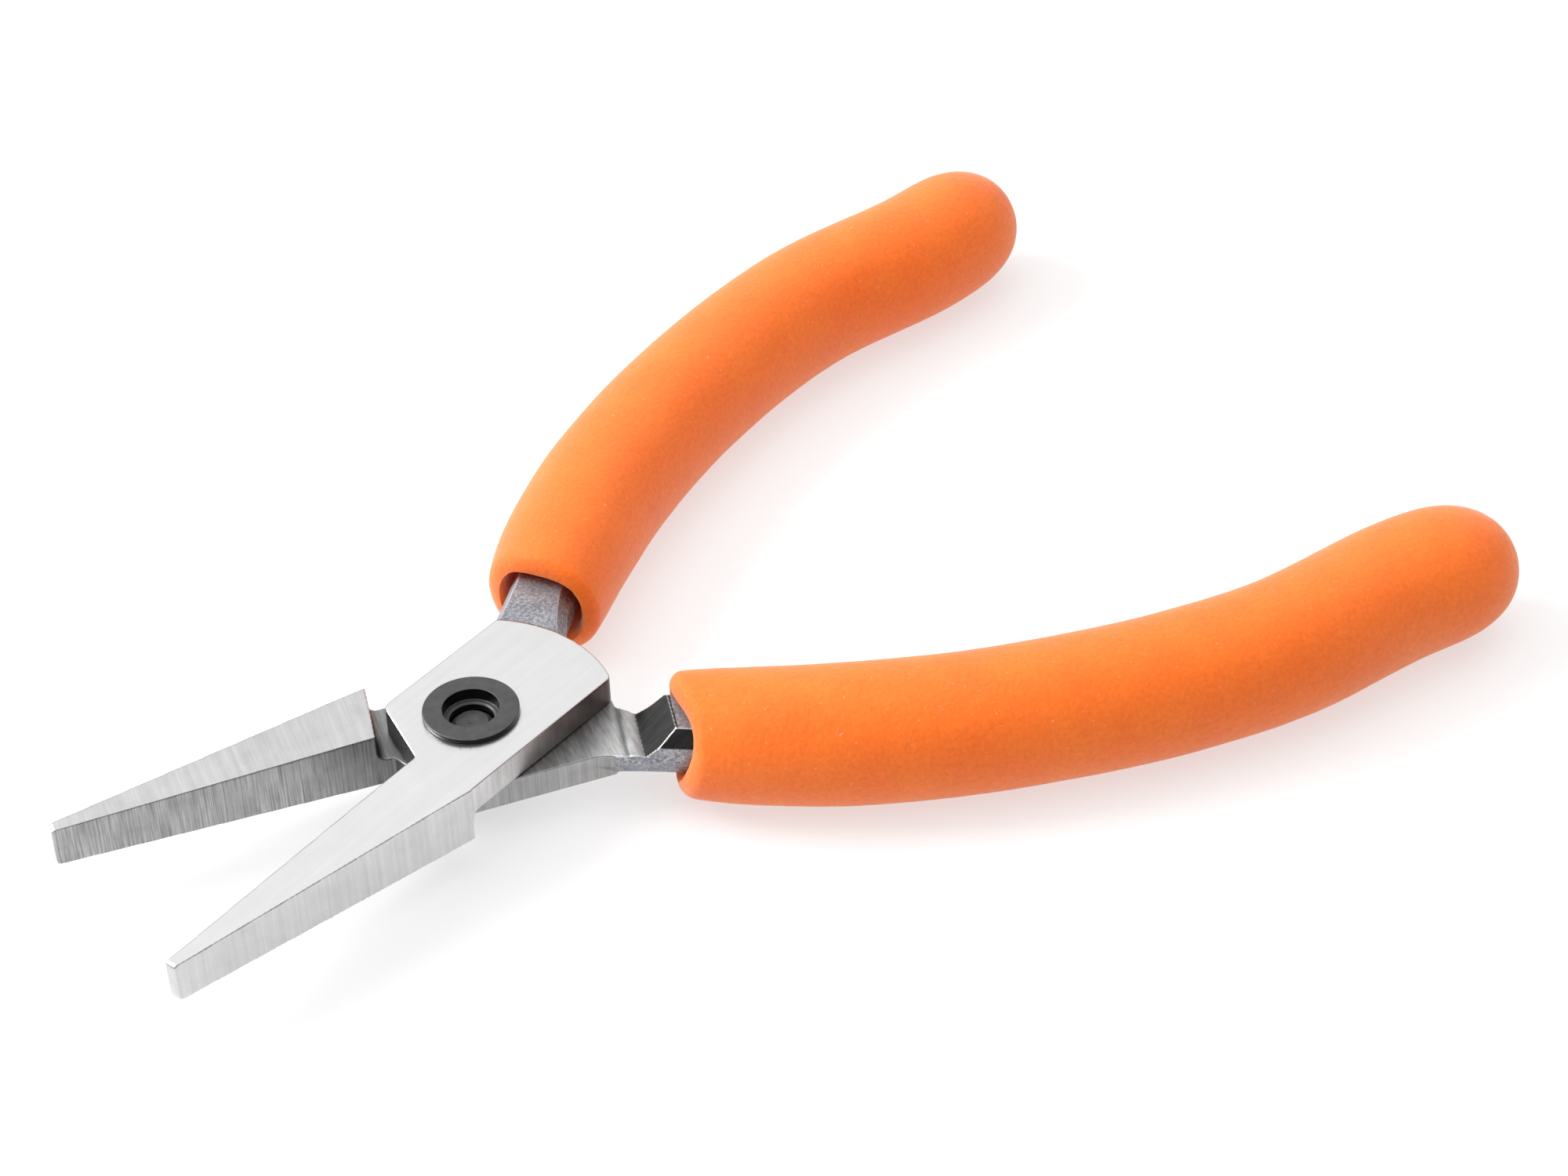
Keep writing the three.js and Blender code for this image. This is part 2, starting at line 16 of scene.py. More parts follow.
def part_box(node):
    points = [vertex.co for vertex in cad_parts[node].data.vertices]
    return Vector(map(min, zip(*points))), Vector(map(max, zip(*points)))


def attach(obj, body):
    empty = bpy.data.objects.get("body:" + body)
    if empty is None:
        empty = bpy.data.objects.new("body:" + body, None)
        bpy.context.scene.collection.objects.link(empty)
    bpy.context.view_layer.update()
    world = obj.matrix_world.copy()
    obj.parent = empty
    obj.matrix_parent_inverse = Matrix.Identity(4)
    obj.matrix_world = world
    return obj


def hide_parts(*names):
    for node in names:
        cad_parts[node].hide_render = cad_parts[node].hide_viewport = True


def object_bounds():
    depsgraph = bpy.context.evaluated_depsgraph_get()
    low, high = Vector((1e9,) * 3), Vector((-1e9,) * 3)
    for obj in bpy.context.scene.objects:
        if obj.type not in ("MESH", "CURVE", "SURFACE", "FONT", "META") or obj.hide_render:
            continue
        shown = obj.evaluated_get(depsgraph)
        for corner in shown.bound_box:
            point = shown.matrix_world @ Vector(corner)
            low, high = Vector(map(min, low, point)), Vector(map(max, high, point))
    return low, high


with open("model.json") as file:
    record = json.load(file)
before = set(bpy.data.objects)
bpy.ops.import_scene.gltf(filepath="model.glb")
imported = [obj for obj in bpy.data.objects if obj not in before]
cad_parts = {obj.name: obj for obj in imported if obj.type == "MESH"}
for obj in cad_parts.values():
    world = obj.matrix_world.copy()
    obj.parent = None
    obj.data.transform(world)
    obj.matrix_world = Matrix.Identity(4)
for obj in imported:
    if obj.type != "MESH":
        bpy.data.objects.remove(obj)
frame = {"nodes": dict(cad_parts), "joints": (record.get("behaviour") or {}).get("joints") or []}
cad_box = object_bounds()

MM = 0.001
PIVOT = frame["joints"][0]
MID_Z = PIVOT["pos_m"][2]
HALF_OPENING = -math.radians(PIVOT["range_deg"][0]) / 2

# Each lever's own frame: the closed tool's, with the lap joint's mid-plane at z = 0. The lower
# lever is the upper one turned half a turn about X.
UPPER_FRAME = Matrix.Translation((0, 0, MID_Z)) @ Matrix.Rotation(HALF_OPENING, 4, "Z")
LOWER_FRAME = (
    Matrix.Translation((0, 0, MID_Z))
    @ Matrix.Rotation(-HALF_OPENING, 4, "Z")
    @ Matrix.Rotation(math.pi, 4, "X")
)

# Sizes in millimetres, in a lever's own frame.
PLATE_REAR_RADIUS = 12.55
PLATE_SIDE_X = (-11.5, 7.0)  # the plate's ground side, from rear to front
SHOULDER_X = 7.5  # ahead of here a side face is the jaw's
JAW_ROOT_X = 3.0  # ahead of here a face toward the other lever can be a jaw's
TIP_FACE_X = 30.0  # ahead of here a face to the front is the tip's
GRIPPING_BAND = 0.8  # the gripping face lies this near the closed tool's centre plane
INNER_FACE_Z = -1.0  # a face down below this is the full-thickness jaw's
OUTER_FACE_Z = 2.7
LAP_SKEW = math.radians(10)  # the ramp's turn from square to X
LAP_SHADING_SPAN = (9.0, 14.5)  # the span of the lap's painted light and shade bands, by distance back from the pivot
RAMP_FOOT = 14.0
RAMP_END = 17.0

MERGE_DISTANCE = 0.002
LEVER_VOXEL = 0.1
LEVER_TRIANGLES = 90_000

FLANGE_THICKNESS = 0.46
BARREL_RADIUS = 3.1
COUNTERBORE_RADIUS = 2.45
COUNTERBORE_DEPTH = 1.15
NUT_BORE_RADIUS = 1.95
SHANK_RADIUS = 1.85
SHANK_TIP_RADIUS = 1.43
SPANNER_HOLE_RADIUS = 0.5
SPANNER_HOLE_OFFSET = 2.4
SPANNER_HOLE_DEPTH = 0.3
THREAD_PITCH = 0.7
THREAD_DEPTH = 0.16


# ---- camera ---------------------------------------------------------------------------------

CAMERA_AIM = Vector((-33.08, 0.33, 3.21)) * MM
CAMERA_PLACE = Vector((112.40, 204.02, 204.07)) * MM
CAMERA_ROLL = math.radians(-1.83)
CAMERA_LENS = 81.66


def make_camera():
    data = bpy.data.cameras.new("camera")
    data.lens = CAMERA_LENS
    data.sensor_width = 36
    data.clip_start = 0.01
    data.clip_end = 10
    camera = bpy.data.objects.new("camera", data)
    camera.location = CAMERA_PLACE
    camera.rotation_mode = "QUATERNION"
    look = (CAMERA_AIM - CAMERA_PLACE).to_track_quat("-Z", "Y")
    camera.rotation_quaternion = look @ Quaternion((0, 0, 1), CAMERA_ROLL)
    bpy.context.scene.collection.objects.link(camera)
    bpy.context.scene.camera = camera


# ---- studio ---------------------------------------------------------------------------------

WORLD_STRENGTH = 1.0
HORIZON_TONE = 0.10
HORIZON_FADE = (0.12, 0.50)  # heights, on a unit sphere, between which the horizon turns white
NEAR_SIDE_TONE = 0.38
NEAR_SIDE_FADE = (-0.10, 0.45)
LIGHTS_AIM = (-0.02, 0, 0)
KEY_PLACE = (0.45, -0.47, 0.50)
KEY_SIZE = 0.45
KEY_POWER = 7.5
TOP_PLACE = (0.06, 0.12, 0.80)
TOP_SIZE = 0.95
TOP_POWER = 4.0
FLOOR_HALF_WIDTH = 3.0
FLOOR_TONE = 0.34
FLOOR_GLOW = 0.60


def make_softbox(name, place, size, power, in_reflections):
    data = bpy.data.lights.new(name, "AREA")
    data.shape = "RECTANGLE"
    data.size = data.size_y = size
    data.energy = power
    light = bpy.data.objects.new(name, data)
    light.location = place
    light.visible_glossy = in_reflections
    light.rotation_mode = "QUATERNION"
    light.rotation_quaternion = (Vector(LIGHTS_AIM) - Vector(place)).to_track_quat("-Z", "Y")
    bpy.context.scene.collection.objects.link(light)


def make_surroundings():
    """White overhead and beyond the tool, dark low down and on the near side (+Y)."""
    world = bpy.data.worlds.new("studio")
    world.use_nodes = True
    bpy.context.scene.world = world
    tree = world.node_tree
    place = tree.nodes.new("ShaderNodeTexCoord")
    axes = tree.nodes.new("ShaderNodeSeparateXYZ")
    tree.links.new(place.outputs["Generated"], axes.inputs["Vector"])
    tones = []
    for axis, (low, high), start, end in (
        ("Z", HORIZON_FADE, HORIZON_TONE, 1.0),
        ("Y", NEAR_SIDE_FADE, 1.0, NEAR_SIDE_TONE),
    ):
        span = tree.nodes.new("ShaderNodeMapRange")
        span.interpolation_type = "SMOOTHSTEP"
        values = {"From Min": low, "From Max": high, "To Min": start, "To Max": end}
        for key, value in values.items():
            span.inputs[key].default_value = value
        tree.links.new(axes.outputs[axis], span.inputs["Value"])
        tones.append(span.outputs["Result"])
    product = tree.nodes.new("ShaderNodeMath")
    product.operation = "MULTIPLY"
    tree.links.new(tones[0], product.inputs[0])
    tree.links.new(tones[1], product.inputs[1])
    background = tree.nodes["Background"]
    background.inputs["Strength"].default_value = WORLD_STRENGTH
    tree.links.new(product.outputs["Value"], background.inputs["Color"])


def make_studio():
    make_surroundings()
    bpy.context.scene.view_settings.view_transform = "Standard"
    make_softbox("key", KEY_PLACE, KEY_SIZE, KEY_POWER, in_reflections=True)
    make_softbox("top", TOP_PLACE, TOP_SIZE, TOP_POWER, in_reflections=False)

    mesh = bpy.data.meshes.new("floor")
    bm = bmesh.new()
    bmesh.ops.create_grid(bm, x_segments=8, y_segments=8, size=FLOOR_HALF_WIDTH)
    bm.to_mesh(mesh)
    bm.free()
    floor = bpy.data.objects.new("floor", mesh)
    floor.location = (0, 0, cad_box[0].z)
    bpy.context.scene.collection.objects.link(floor)
    mesh.materials.append(floor_material())


# ---- material helpers -----------------------------------------------------------------------


class Nodes:
    """A material's node tree, built call by call."""

    def __init__(self, name):
        self.material = bpy.data.materials.new(name)
        self.material.use_nodes = True
        self.tree = self.material.node_tree
        self.shader = self.tree.nodes["Principled BSDF"]
        self.place = self.attribute("own_place", "Vector")

    def add(self, kind, **settings):
        node = self.tree.nodes.new(kind)
        for key, value in settings.items():
            setattr(node, key, value)
        return node

    def attribute(self, name, output):
        return self.add("ShaderNodeAttribute", attribute_name=name).outputs[output]

    def along_x(self):
        axes = self.add("ShaderNodeSeparateXYZ")
        self.link(self.place, axes.inputs["Vector"])
        return axes.outputs["X"]

    def link(self, out, into):
        self.tree.links.new(out, into)

    def set(self, **values):
        for key, value in values.items():
            self.shader.inputs[key.replace("_", " ")].default_value = value

    def stretched(self, scale, turn=(0, 0, 0)):
        """The piece's own millimetres, with scale cycles to the millimetre along each axis."""
        mapping = self.add("ShaderNodeMapping")
        mapping.inputs["Rotation"].default_value = turn
        mapping.inputs["Scale"].default_value = scale
        self.link(self.place, mapping.inputs["Vector"])
        return mapping.outputs["Vector"]

    def noise(self, scale, detail=3.0, roughness=0.6, turn=(0, 0, 0)):
        texture = self.add("ShaderNodeTexNoise")
        texture.inputs["Scale"].default_value = 1.0
        texture.inputs["Detail"].default_value = detail
        texture.inputs["Roughness"].default_value = roughness
        self.link(self.stretched(scale, turn), texture.inputs["Vector"])
        return texture.outputs["Fac"]

    def ramp(self, value, *stops):
        """Colours by value; each stop is (position, grey) or (position, (r, g, b))."""
        node = self.add("ShaderNodeValToRGB")
        elements = node.color_ramp.elements
        while len(elements) < len(stops):
            elements.new(0.5)
        for element, (position, colour) in zip(elements, stops):
            element.position = position
            rgb = colour if isinstance(colour, tuple) else (colour,) * 3
            element.color = (*rgb, 1)
        self.link(value, node.inputs["Fac"])
        return node.outputs["Color"]

    def span(self, value, low, high, start=0.0, end=1.0):
        node = self.add("ShaderNodeMapRange")
        node.inputs["From Min"].default_value = low
        node.inputs["From Max"].default_value = high
        node.inputs["To Min"].default_value = start
        node.inputs["To Max"].default_value = end
        self.link(value, node.inputs["Value"])
        return node.outputs["Result"]

    def mix(self, kind, a, b, factor=1.0):
        node = self.add("ShaderNodeMix", data_type="RGBA", blend_type=kind)
        node.inputs["Factor"].default_value = factor
        self.link(a, node.inputs["A"])
        self.link(b, node.inputs["B"])
        return node.outputs["Result"]

    def bump(self, height, depth, strength=1.0, under=None):
        node = self.add("ShaderNodeBump")
        node.inputs["Distance"].default_value = depth * MM
        node.inputs["Strength"].default_value = strength
        self.link(height, node.inputs["Height"])
        if under is not None:
            self.link(under, node.inputs["Normal"])
        return node.outputs["Normal"]

    def finish(self, colour=None, roughness=None, normal=None):
        if colour is not None:
            self.link(colour, self.shader.inputs["Base Color"])
        if roughness is not None:
            self.link(roughness, self.shader.inputs["Roughness"])
        if normal is not None:
            self.link(normal, self.shader.inputs["Normal"])
        return self.material


def floor_material():
    """A white table glowing softly from within, so that shadows on it stay faint."""
    m = Nodes("studio_floor")
    m.place = m.add("ShaderNodeTexCoord").outputs["Object"]
    m.set(Roughness=0.9, Emission_Color=(1, 1, 1, 1), Emission_Strength=FLOOR_GLOW)
    grain = m.noise((20, 20, 20))
    return m.finish(colour=m.ramp(grain, (0.3, FLOOR_TONE - 0.01), (0.7, FLOOR_TONE + 0.01)))


# ---- materials ------------------------------------------------------------------------------


def steel(
    name,
    dark,
    light,
    streak,
    rough=(0.28, 0.42),
    depth=0.010,
    shade=None,
    calm=0.0,
    worn_edge_glint=0.18,
):
    """Ground steel: fine lines across or along, slow bands, painted shade where given, edges
    lightened partly as worn metal and partly as a painted highlight, inner corners darkened as
    painted shade.
    """
    m = Nodes(name)
    m.set(Metallic=1.0)
    lines = m.noise(streak, detail=5, roughness=0.7)
    bands = m.noise(tuple(s * 0.2 for s in streak), detail=2)
    patches = m.noise((0.35, 0.35, 0.5), detail=4)
    colour = m.ramp(lines, (0.30, dark), (0.70, light))
    low = 0.84 + 0.16 * calm
    colour = m.mix("MULTIPLY", colour, m.ramp(bands, (0.35, low), (0.65, 1.0)))
    colour = m.mix("MULTIPLY", colour, m.ramp(patches, (0.30, low), (0.65, 1.0)))
    if shade is not None:
        colour = m.mix("MULTIPLY", colour, shade(m))
    colour = worn_edge_glint_and_corner_shade(m, colour, worn_edge_glint)
    return m.finish(colour, m.span(lines, 0.3, 0.7, *rough), m.bump(lines, depth))


def worn_edge_glint_and_corner_shade(m, colour, worn_edge_glint, edge_tone=0.80, corner_shade_tone=0.45):
    """Edges lightened, partly worn bright and partly a painted highlight, and inner corners
    darkened as painted shade, from the mesh's own sharpness.
    """
    edge = m.attribute("sharpness", "Fac")
    # Painted shade: inner corners darkened.
    corner_shade = m.ramp(m.span(edge, 0.0, -0.16), (0.0, 1.0), (1.0, corner_shade_tone))
    colour = m.mix("MULTIPLY", colour, corner_shade)
    # Edges lightened toward a pale grey: partly worn metal, partly a painted highlight.
    node = m.add("ShaderNodeMix", data_type="RGBA")
    m.link(m.span(edge, 0.05, 0.16, 0.0, worn_edge_glint), node.inputs["Factor"])
    m.link(colour, node.inputs["A"])
    node.inputs["B"].default_value = (edge_tone, edge_tone, edge_tone, 1)
    return node.outputs["Result"]


ACROSS_JAW = (8.0, 0.12, 0.12)
ALONG_JAW = (0.25, 8.0, 4.0)


def painted_rear_shade(m):
    """Painted shade: the plate's side grows darker away from the jaw."""
    along = m.span(m.along_x(), *PLATE_SIDE_X)
    return m.ramp(along, (0.0, 0.07), (0.25, 0.24), (0.6, 0.66), (1.0, 1.0))


def polished_steel():
    """Satin polished outer face, nearly white, with the faintest scratches."""
    return steel(
        "polished_steel",
        0.83,
        0.855,
        ALONG_JAW,
        rough=(0.27, 0.31),
        depth=0.001,
        calm=0.8,
    )


def jaw_side_steel():
    return steel("jaw_side_steel", 0.61, 0.73, ACROSS_JAW, depth=0.006, calm=0.4)


def plate_side_steel():
    # The side's tone darkens toward the rear as painted shade.
    return steel("plate_side_steel", 0.64, 0.92, (8.0, 0.14, 0.14), shade=painted_rear_shade)


def handle_side_steel():
    """The plate's side next to its own handle, ground by the wheel."""
    return steel("handle_side_steel", 0.31, 0.52, (8.0, 0.14, 0.14))


def painted_root_shade(m):
    """Painted shade: the gripping face grows darker toward the joint."""
    along = m.span(m.along_x(), JAW_ROOT_X, TIP_FACE_X)
    return m.ramp(along, (0.0, 0.42), (0.25, 0.62), (0.5, 1.0), (1.0, 0.94))


def gripping_face_steel():
    # The face's tone darkens toward the joint as painted shade.
    return steel(
        "gripping_face_steel",
        0.20,
        0.68,
        (6.0, 0.14, 0.16),
        rough=(0.34, 0.48),
        depth=0.014,
        shade=painted_root_shade,
    )


def inner_face_steel():
    """The full-thickness jaw's face on the lap side, ground across."""
    return steel("inner_face_steel", 0.67, 0.77, (6.0, 0.14, 0.5), depth=0.006, calm=0.3)


def painted_lap_shading(m):
    """Painted light and shade across the lap, by distance back from the pivot: dark lines at the
    ridge and at the ramp's foot, lighter bands between.
    """
    back = m.add("ShaderNodeVectorMath", operation="DOT_PRODUCT")
    m.link(m.place, back.inputs[0])
    back.inputs[1].default_value = (-math.cos(LAP_SKEW), -math.sin(LAP_SKEW), 0)
    along = m.span(back.outputs["Value"], *LAP_SHADING_SPAN)
    return m.ramp(
        along,
        (0.0, 0.62),
        (0.40, 0.95),
        (0.56, 1.0),
        (0.64, 0.38),
        (0.70, 0.80),
        (0.86, 0.92),
        (0.93, 0.40),
    )


def lap_steel():
    # Carries painted light and shade bands across the lap.
    return steel(
        "lap_steel",
        0.45,
        0.90,
        (3.0, 0.35, 0.5),
        rough=(0.44, 0.54),
        shade=painted_lap_shading,
        worn_edge_glint=0.8,
    )


def ramp_shade_steel():
    # Painted shade: the ramp from the lap up to the tang is made near black, for the shade it lies
    # in.
    return steel(
        "ramp_shade_steel",
        0.05,
        0.09,
        (0.5, 6.0, 0.5),
        rough=(0.36, 0.44),
        depth=0.004,
        worn_edge_glint=1.0,
    )


def recess_shade_steel():
    """The upright walls either side of the gap between the plate and the other jaw, made dark as
    painted shade.
    """
    return steel("recess_shade_steel", 0.14, 0.24, (0.5, 0.5, 4.0), rough=(0.36, 0.46), depth=0.006)


def blasted_steel():
    """Forged surface, blasted clean: a blue-grey speckle of small pits."""
    m = Nodes("blasted_steel")
    m.set(Metallic=1.0)
    pits = m.noise((3.6, 3.6, 3.6), detail=4, roughness=0.65)
    patches = m.noise((0.5, 0.5, 0.5), detail=3)
    speckle = m.ramp(
        pits,
        (0.34, (0.262, 0.278, 0.310)),
        (0.52, (0.425, 0.448, 0.485)),
        (0.70, (0.65, 0.68, 0.725)),
    )
    colour = m.mix("MULTIPLY", speckle, m.ramp(patches, (0.3, 0.78), (0.7, 1.0)))
    # Edges lightened (partly worn, partly a painted highlight) and inner corners darkened as
    # painted shade.
    colour = worn_edge_glint_and_corner_shade(m, colour, worn_edge_glint=1.0)
    return m.finish(colour, m.span(pits, 0.3, 0.7, 0.68, 0.50), m.bump(pits, 0.05))


def black_oxide(name="black_oxide", dark=0.033, light=0.053, rough=(0.34, 0.44), gloss=0.5):
    """Turned steel with a satin black oxide finish."""
    m = Nodes(name)
    m.set(Metallic=0.0, IOR=1.5, Specular_IOR_Level=gloss)
    mottle = m.noise((1.2, 1.2, 1.2), detail=4)
    fine = m.noise((14.0, 14.0, 14.0), detail=2)
    colour = m.ramp(mottle, (0.3, dark), (0.7, light))
    return m.finish(colour, m.span(mottle, 0.3, 0.7, *rough), m.bump(fine, 0.004))


def oxide_finishes():
    """Flat faces; rims lighter, partly worn and partly a painted highlight; upright walls near
    black as painted shade.
    """
    return (
        black_oxide(),
        black_oxide("oxide_edge_worn_glint", 0.060, 0.095, rough=(0.26, 0.34)),
        black_oxide("oxide_upright_shade", 0.0015, 0.004, rough=(0.20, 0.30), gloss=0.32),
    )


def sort_oxide(mesh, finishes):
    for finish in finishes:
        mesh.materials.append(finish)
    for polygon in mesh.polygons:
        steepness = abs(polygon.normal.z)
        # Rims take the lighter tone (worn and painted highlight), upright walls the near-black
        # painted shade.
        polygon.material_index = 0 if steepness > 0.93 else 1 if steepness > 0.4 else 2


def foam_skin():
    """Soft moulded foam sleeve with a matte, finely pebbled skin."""
    m = Nodes("foam_skin")
    m.set(Sheen_Weight=0.36, Sheen_Roughness=0.5, Sheen_Tint=(0.96, 0.90, 0.80, 1.0))
    m.set(Specular_IOR_Level=0.42)
    m.set(Subsurface_Weight=0.30, Subsurface_Radius=(1.0, 0.2, 0.04), Subsurface_Scale=0.004)
    pebbles = m.noise((2.4, 2.4, 2.4), detail=3, roughness=0.55)
    patches = m.noise((0.16, 0.16, 0.16), detail=2)
    specks = m.noise((3.6, 3.6, 3.6), detail=1)
    base = m.ramp(patches, (0.3, (0.93, 0.157, 0.005)), (0.7, (0.96, 0.184, 0.008)))
    base = m.mix("MULTIPLY", base, m.ramp(pebbles, (0.3, 0.88), (0.65, 1.0)))
    base = m.mix("SCREEN", base, m.ramp(specks, (0.71, 0.0), (0.80, 0.20)))
    return m.finish(base, m.span(pebbles, 0.3, 0.7, 0.78, 0.62), m.bump(pebbles, 0.07))


# ---- meshes ---------------------------------------------------------------------------------


def cad_copy(node, own_frame):
    """A CAD node's closed mesh, in millimetres in the given frame, with no seams or normals."""
    source = frame["nodes"][node].data
    to_own = own_frame.inverted()
    bm = bmesh.new()
    verts = [bm.verts.new((to_own @ v.co) / MM) for v in source.vertices]
    for polygon in source.polygons:
        bm.faces.new([verts[i] for i in polygon.vertices])
    bmesh.ops.remove_doubles(bm, verts=bm.verts, dist=MERGE_DISTANCE)
    bmesh.ops.dissolve_degenerate(bm, dist=MERGE_DISTANCE, edges=bm.edges)
    return bm


def draft(name, bm):
    """A new object from a closed mesh in a piece's own millimetres."""
    bmesh.ops.recalc_face_normals(bm, faces=bm.faces)
    mesh = bpy.data.meshes.new(name)
    bm.to_mesh(mesh)
    bm.free()
    piece = bpy.data.objects.new(name, mesh)
    bpy.context.scene.collection.objects.link(piece)
    return piece


def apply_modifiers(piece):
    bpy.context.view_layer.update()
    graph = bpy.context.evaluated_depsgraph_get()
    mesh = bpy.data.meshes.new_from_object(piece.evaluated_get(graph))
    old = piece.data
    piece.modifiers.clear()
    piece.data = mesh
    bpy.data.meshes.remove(old)
    mesh.name = piece.name


def positions(mesh):
    places = np.empty(len(mesh.vertices) * 3)
    mesh.vertices.foreach_get("co", places)
    return places.reshape(-1, 3)


def normals(mesh):
    directions = np.empty(len(mesh.vertices) * 3)
    mesh.vertices.foreach_get("normal", directions)
    return directions.reshape(-1, 3)


def store_sharpness(mesh):
    """How far each vertex stands out of its neighbours: above 0 on edges, below 0 in corners."""
    place, normal = positions(mesh), normals(mesh)
    ends = np.empty(len(mesh.edges) * 2, np.int32)
    mesh.edges.foreach_get("vertices", ends)
    a, b = ends.reshape(-1, 2).T
    along = place[a] - place[b]
    along /= np.maximum(np.linalg.norm(along, axis=1, keepdims=True), 1e-9)
    total, count = np.zeros(len(place)), np.zeros(len(place))
    np.add.at(total, a, (normal[a] * along).sum(1))
    np.add.at(total, b, -(normal[b] * along).sum(1))
    np.add.at(count, a, 1)
    np.add.at(count, b, 1)
    attribute = mesh.attributes.new("sharpness", "FLOAT", "POINT")
    attribute.data.foreach_set("value", (total / np.maximum(count, 1)).astype(np.float32))


def seat(piece, own_frame, body, stands_for):
    """Keeps the piece's own millimetres for its materials, then puts its mesh in the row frame."""
    mesh = piece.data
    attribute = mesh.attributes.new("own_place", "FLOAT_VECTOR", "POINT")
    attribute.data.foreach_set("vector", positions(mesh).astype(np.float32).ravel())
    mesh.transform(own_frame @ Matrix.Scale(MM, 4))
    mesh.shade_smooth()
    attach(piece, body)
    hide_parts(stands_for)


# ---- levers ---------------------------------------------------------------------------------

FINISHES = {
    "polished": polished_steel,
    "jaw_side": jaw_side_steel,
    "plate_side": plate_side_steel,
    "handle_side": handle_side_steel,
    "gripping_face": gripping_face_steel,
    "inner_face": inner_face_steel,
    "lap": lap_steel,
    "ramp": ramp_shade_steel,
    "recess": recess_shade_steel,
    "blasted": blasted_steel,
}

REAR_MARGIN = 0.1  # past the plate's rear arc
OUTER_MARGIN = 0.15  # in from the outer face

# Parts of a face's unit normal along an axis, above which the face counts as facing that way.
FACING_DOWN = 0.3
FACING_ALONG = 0.55
FACING_IN = 0.6
SQUARE = 0.7
LEVEL = 0.85


def lever_finish(centre, normal):
    """The finish of a lever's face, from its place and direction in the lever's own frame."""
    off_plate = centre.x < 0 and centre.xy.length > PLATE_REAR_RADIUS + REAR_MARGIN
    facing_lap = normal.z < -FACING_DOWN and centre.z > -OUTER_FACE_Z + OUTER_MARGIN
    back = -(centre.x * math.cos(LAP_SKEW) + centre.y * math.sin(LAP_SKEW))
    if off_plate and facing_lap and back < RAMP_FOOT:
        return "lap"
    if off_plate and facing_lap and (normal.z > -LEVEL or back < RAMP_END):
        return "ramp"
    if off_plate:
        return "blasted"
    if normal.z > SQUARE:
        return "polished"
    if normal.z < -SQUARE:
        return "inner_face" if centre.z < INNER_FACE_Z else "lap"
    if centre.x > JAW_ROOT_X and abs(centre.y) < GRIPPING_BAND and normal.y < -FACING_IN:
        return "gripping_face"
    if centre.x > TIP_FACE_X and normal.x > SQUARE:
        return "inner_face"
    if JAW_ROOT_X < centre.x < TIP_FACE_X and abs(normal.x) > FACING_ALONG:
        return "recess"
    if centre.x > SHOULDER_X:
        return "jaw_side"
    return "plate_side" if centre.y > 0 else "handle_side"


def make_lever(side, own_frame, finishes):
    """The forging: the CAD solid with every edge eased, its surfaces sorted into finishes."""
    node = f"lever_{side}"
    piece = draft(f"forged_lever_{side}", cad_copy(node, own_frame))
    remesh = piece.modifiers.new("even", "REMESH")
    remesh.mode = "VOXEL"
    remesh.voxel_size = LEVER_VOXEL
    ease = piece.modifiers.new("ease", "SMOOTH")
    ease.factor = 0.5
    ease.iterations = 1
    apply_modifiers(piece)
    thin = piece.modifiers.new("thin", "DECIMATE")
    thin.ratio = LEVER_TRIANGLES / (2 * len(piece.data.polygons))
    apply_modifiers(piece)
    mesh = piece.data
    store_sharpness(mesh)
    names = list(finishes)
    for name in names:
        mesh.materials.append(finishes[name])
    for polygon in mesh.polygons:
        polygon.material_index = names.index(lever_finish(polygon.center, polygon.normal))
    seat(piece, own_frame, f"{side}_lever", node)


# ---- grips ----------------------------------------------------------------------------------

SMOOTHING_SHRINK = 0.04  # what smoothing the cage takes off the sleeve, given back
SLOW_SWELL = 0.05
SLOW_CYCLES = 0.16  # to the millimetre
PEBBLE_HEIGHT = 0.018
PEBBLE_CYCLES = 1.3


def make_grip(side, own_frame, skin, seed):
    """The sleeve: the CAD cage smoothed, with the skin's slow unevenness worked into the mesh."""
    node = f"grip_{side}"
    bm = cad_copy(node, own_frame)
    bmesh.ops.join_triangles(
        bm,
        faces=bm.faces,
        angle_face_threshold=math.radians(60),
        angle_shape_threshold=math.radians(80),
    )
    piece = draft(f"foam_sleeve_{side}", bm)
    smooth = piece.modifiers.new("smooth", "SUBSURF")
    smooth.levels = smooth.render_levels = 2
    apply_modifiers(piece)
    mesh = piece.data
    outward = [v.normal.copy() for v in mesh.vertices]
    for vertex, normal in zip(mesh.vertices, outward):
        slow = noise.noise(vertex.co * SLOW_CYCLES + Vector((seed, 0, 0)))
        pebble = noise.noise(vertex.co * PEBBLE_CYCLES + Vector((0, seed, 0)))
        rise = SLOW_SWELL * (slow - 1) + PEBBLE_HEIGHT * pebble
        vertex.co += normal * (SMOOTHING_SHRINK + rise)
    mesh.materials.append(skin)
    seat(piece, own_frame, f"{side}_lever", node)


# ---- pivot ----------------------------------------------------------------------------------


def lathe(profile, steps=128):
    """A closed ring turned about Z from a profile of (radius, z) in mm; radius 0 meets the axis."""
    bm = bmesh.new()
    rings = []
    for radius, z in profile:
        if radius < 1e-6:
            rings.append([bm.verts.new((0, 0, z))])
            continue
        angles = (math.tau * i / steps for i in range(steps))
        circle = ((radius * math.cos(a), radius * math.sin(a), z) for a in angles)
        rings.append([bm.verts.new(point) for point in circle])
    for low, high in zip(rings, rings[1:] + rings[:1]):
        if len(low) == 1 and len(high) == 1:
            continue
        for i in range(steps):
            j = (i + 1) % steps
            corners = [low[i % len(low)], low[j % len(low)]]
            corners += [high[j % len(high)], high[i % len(high)]]
            bm.faces.new(list(dict.fromkeys(corners)))
    return bm


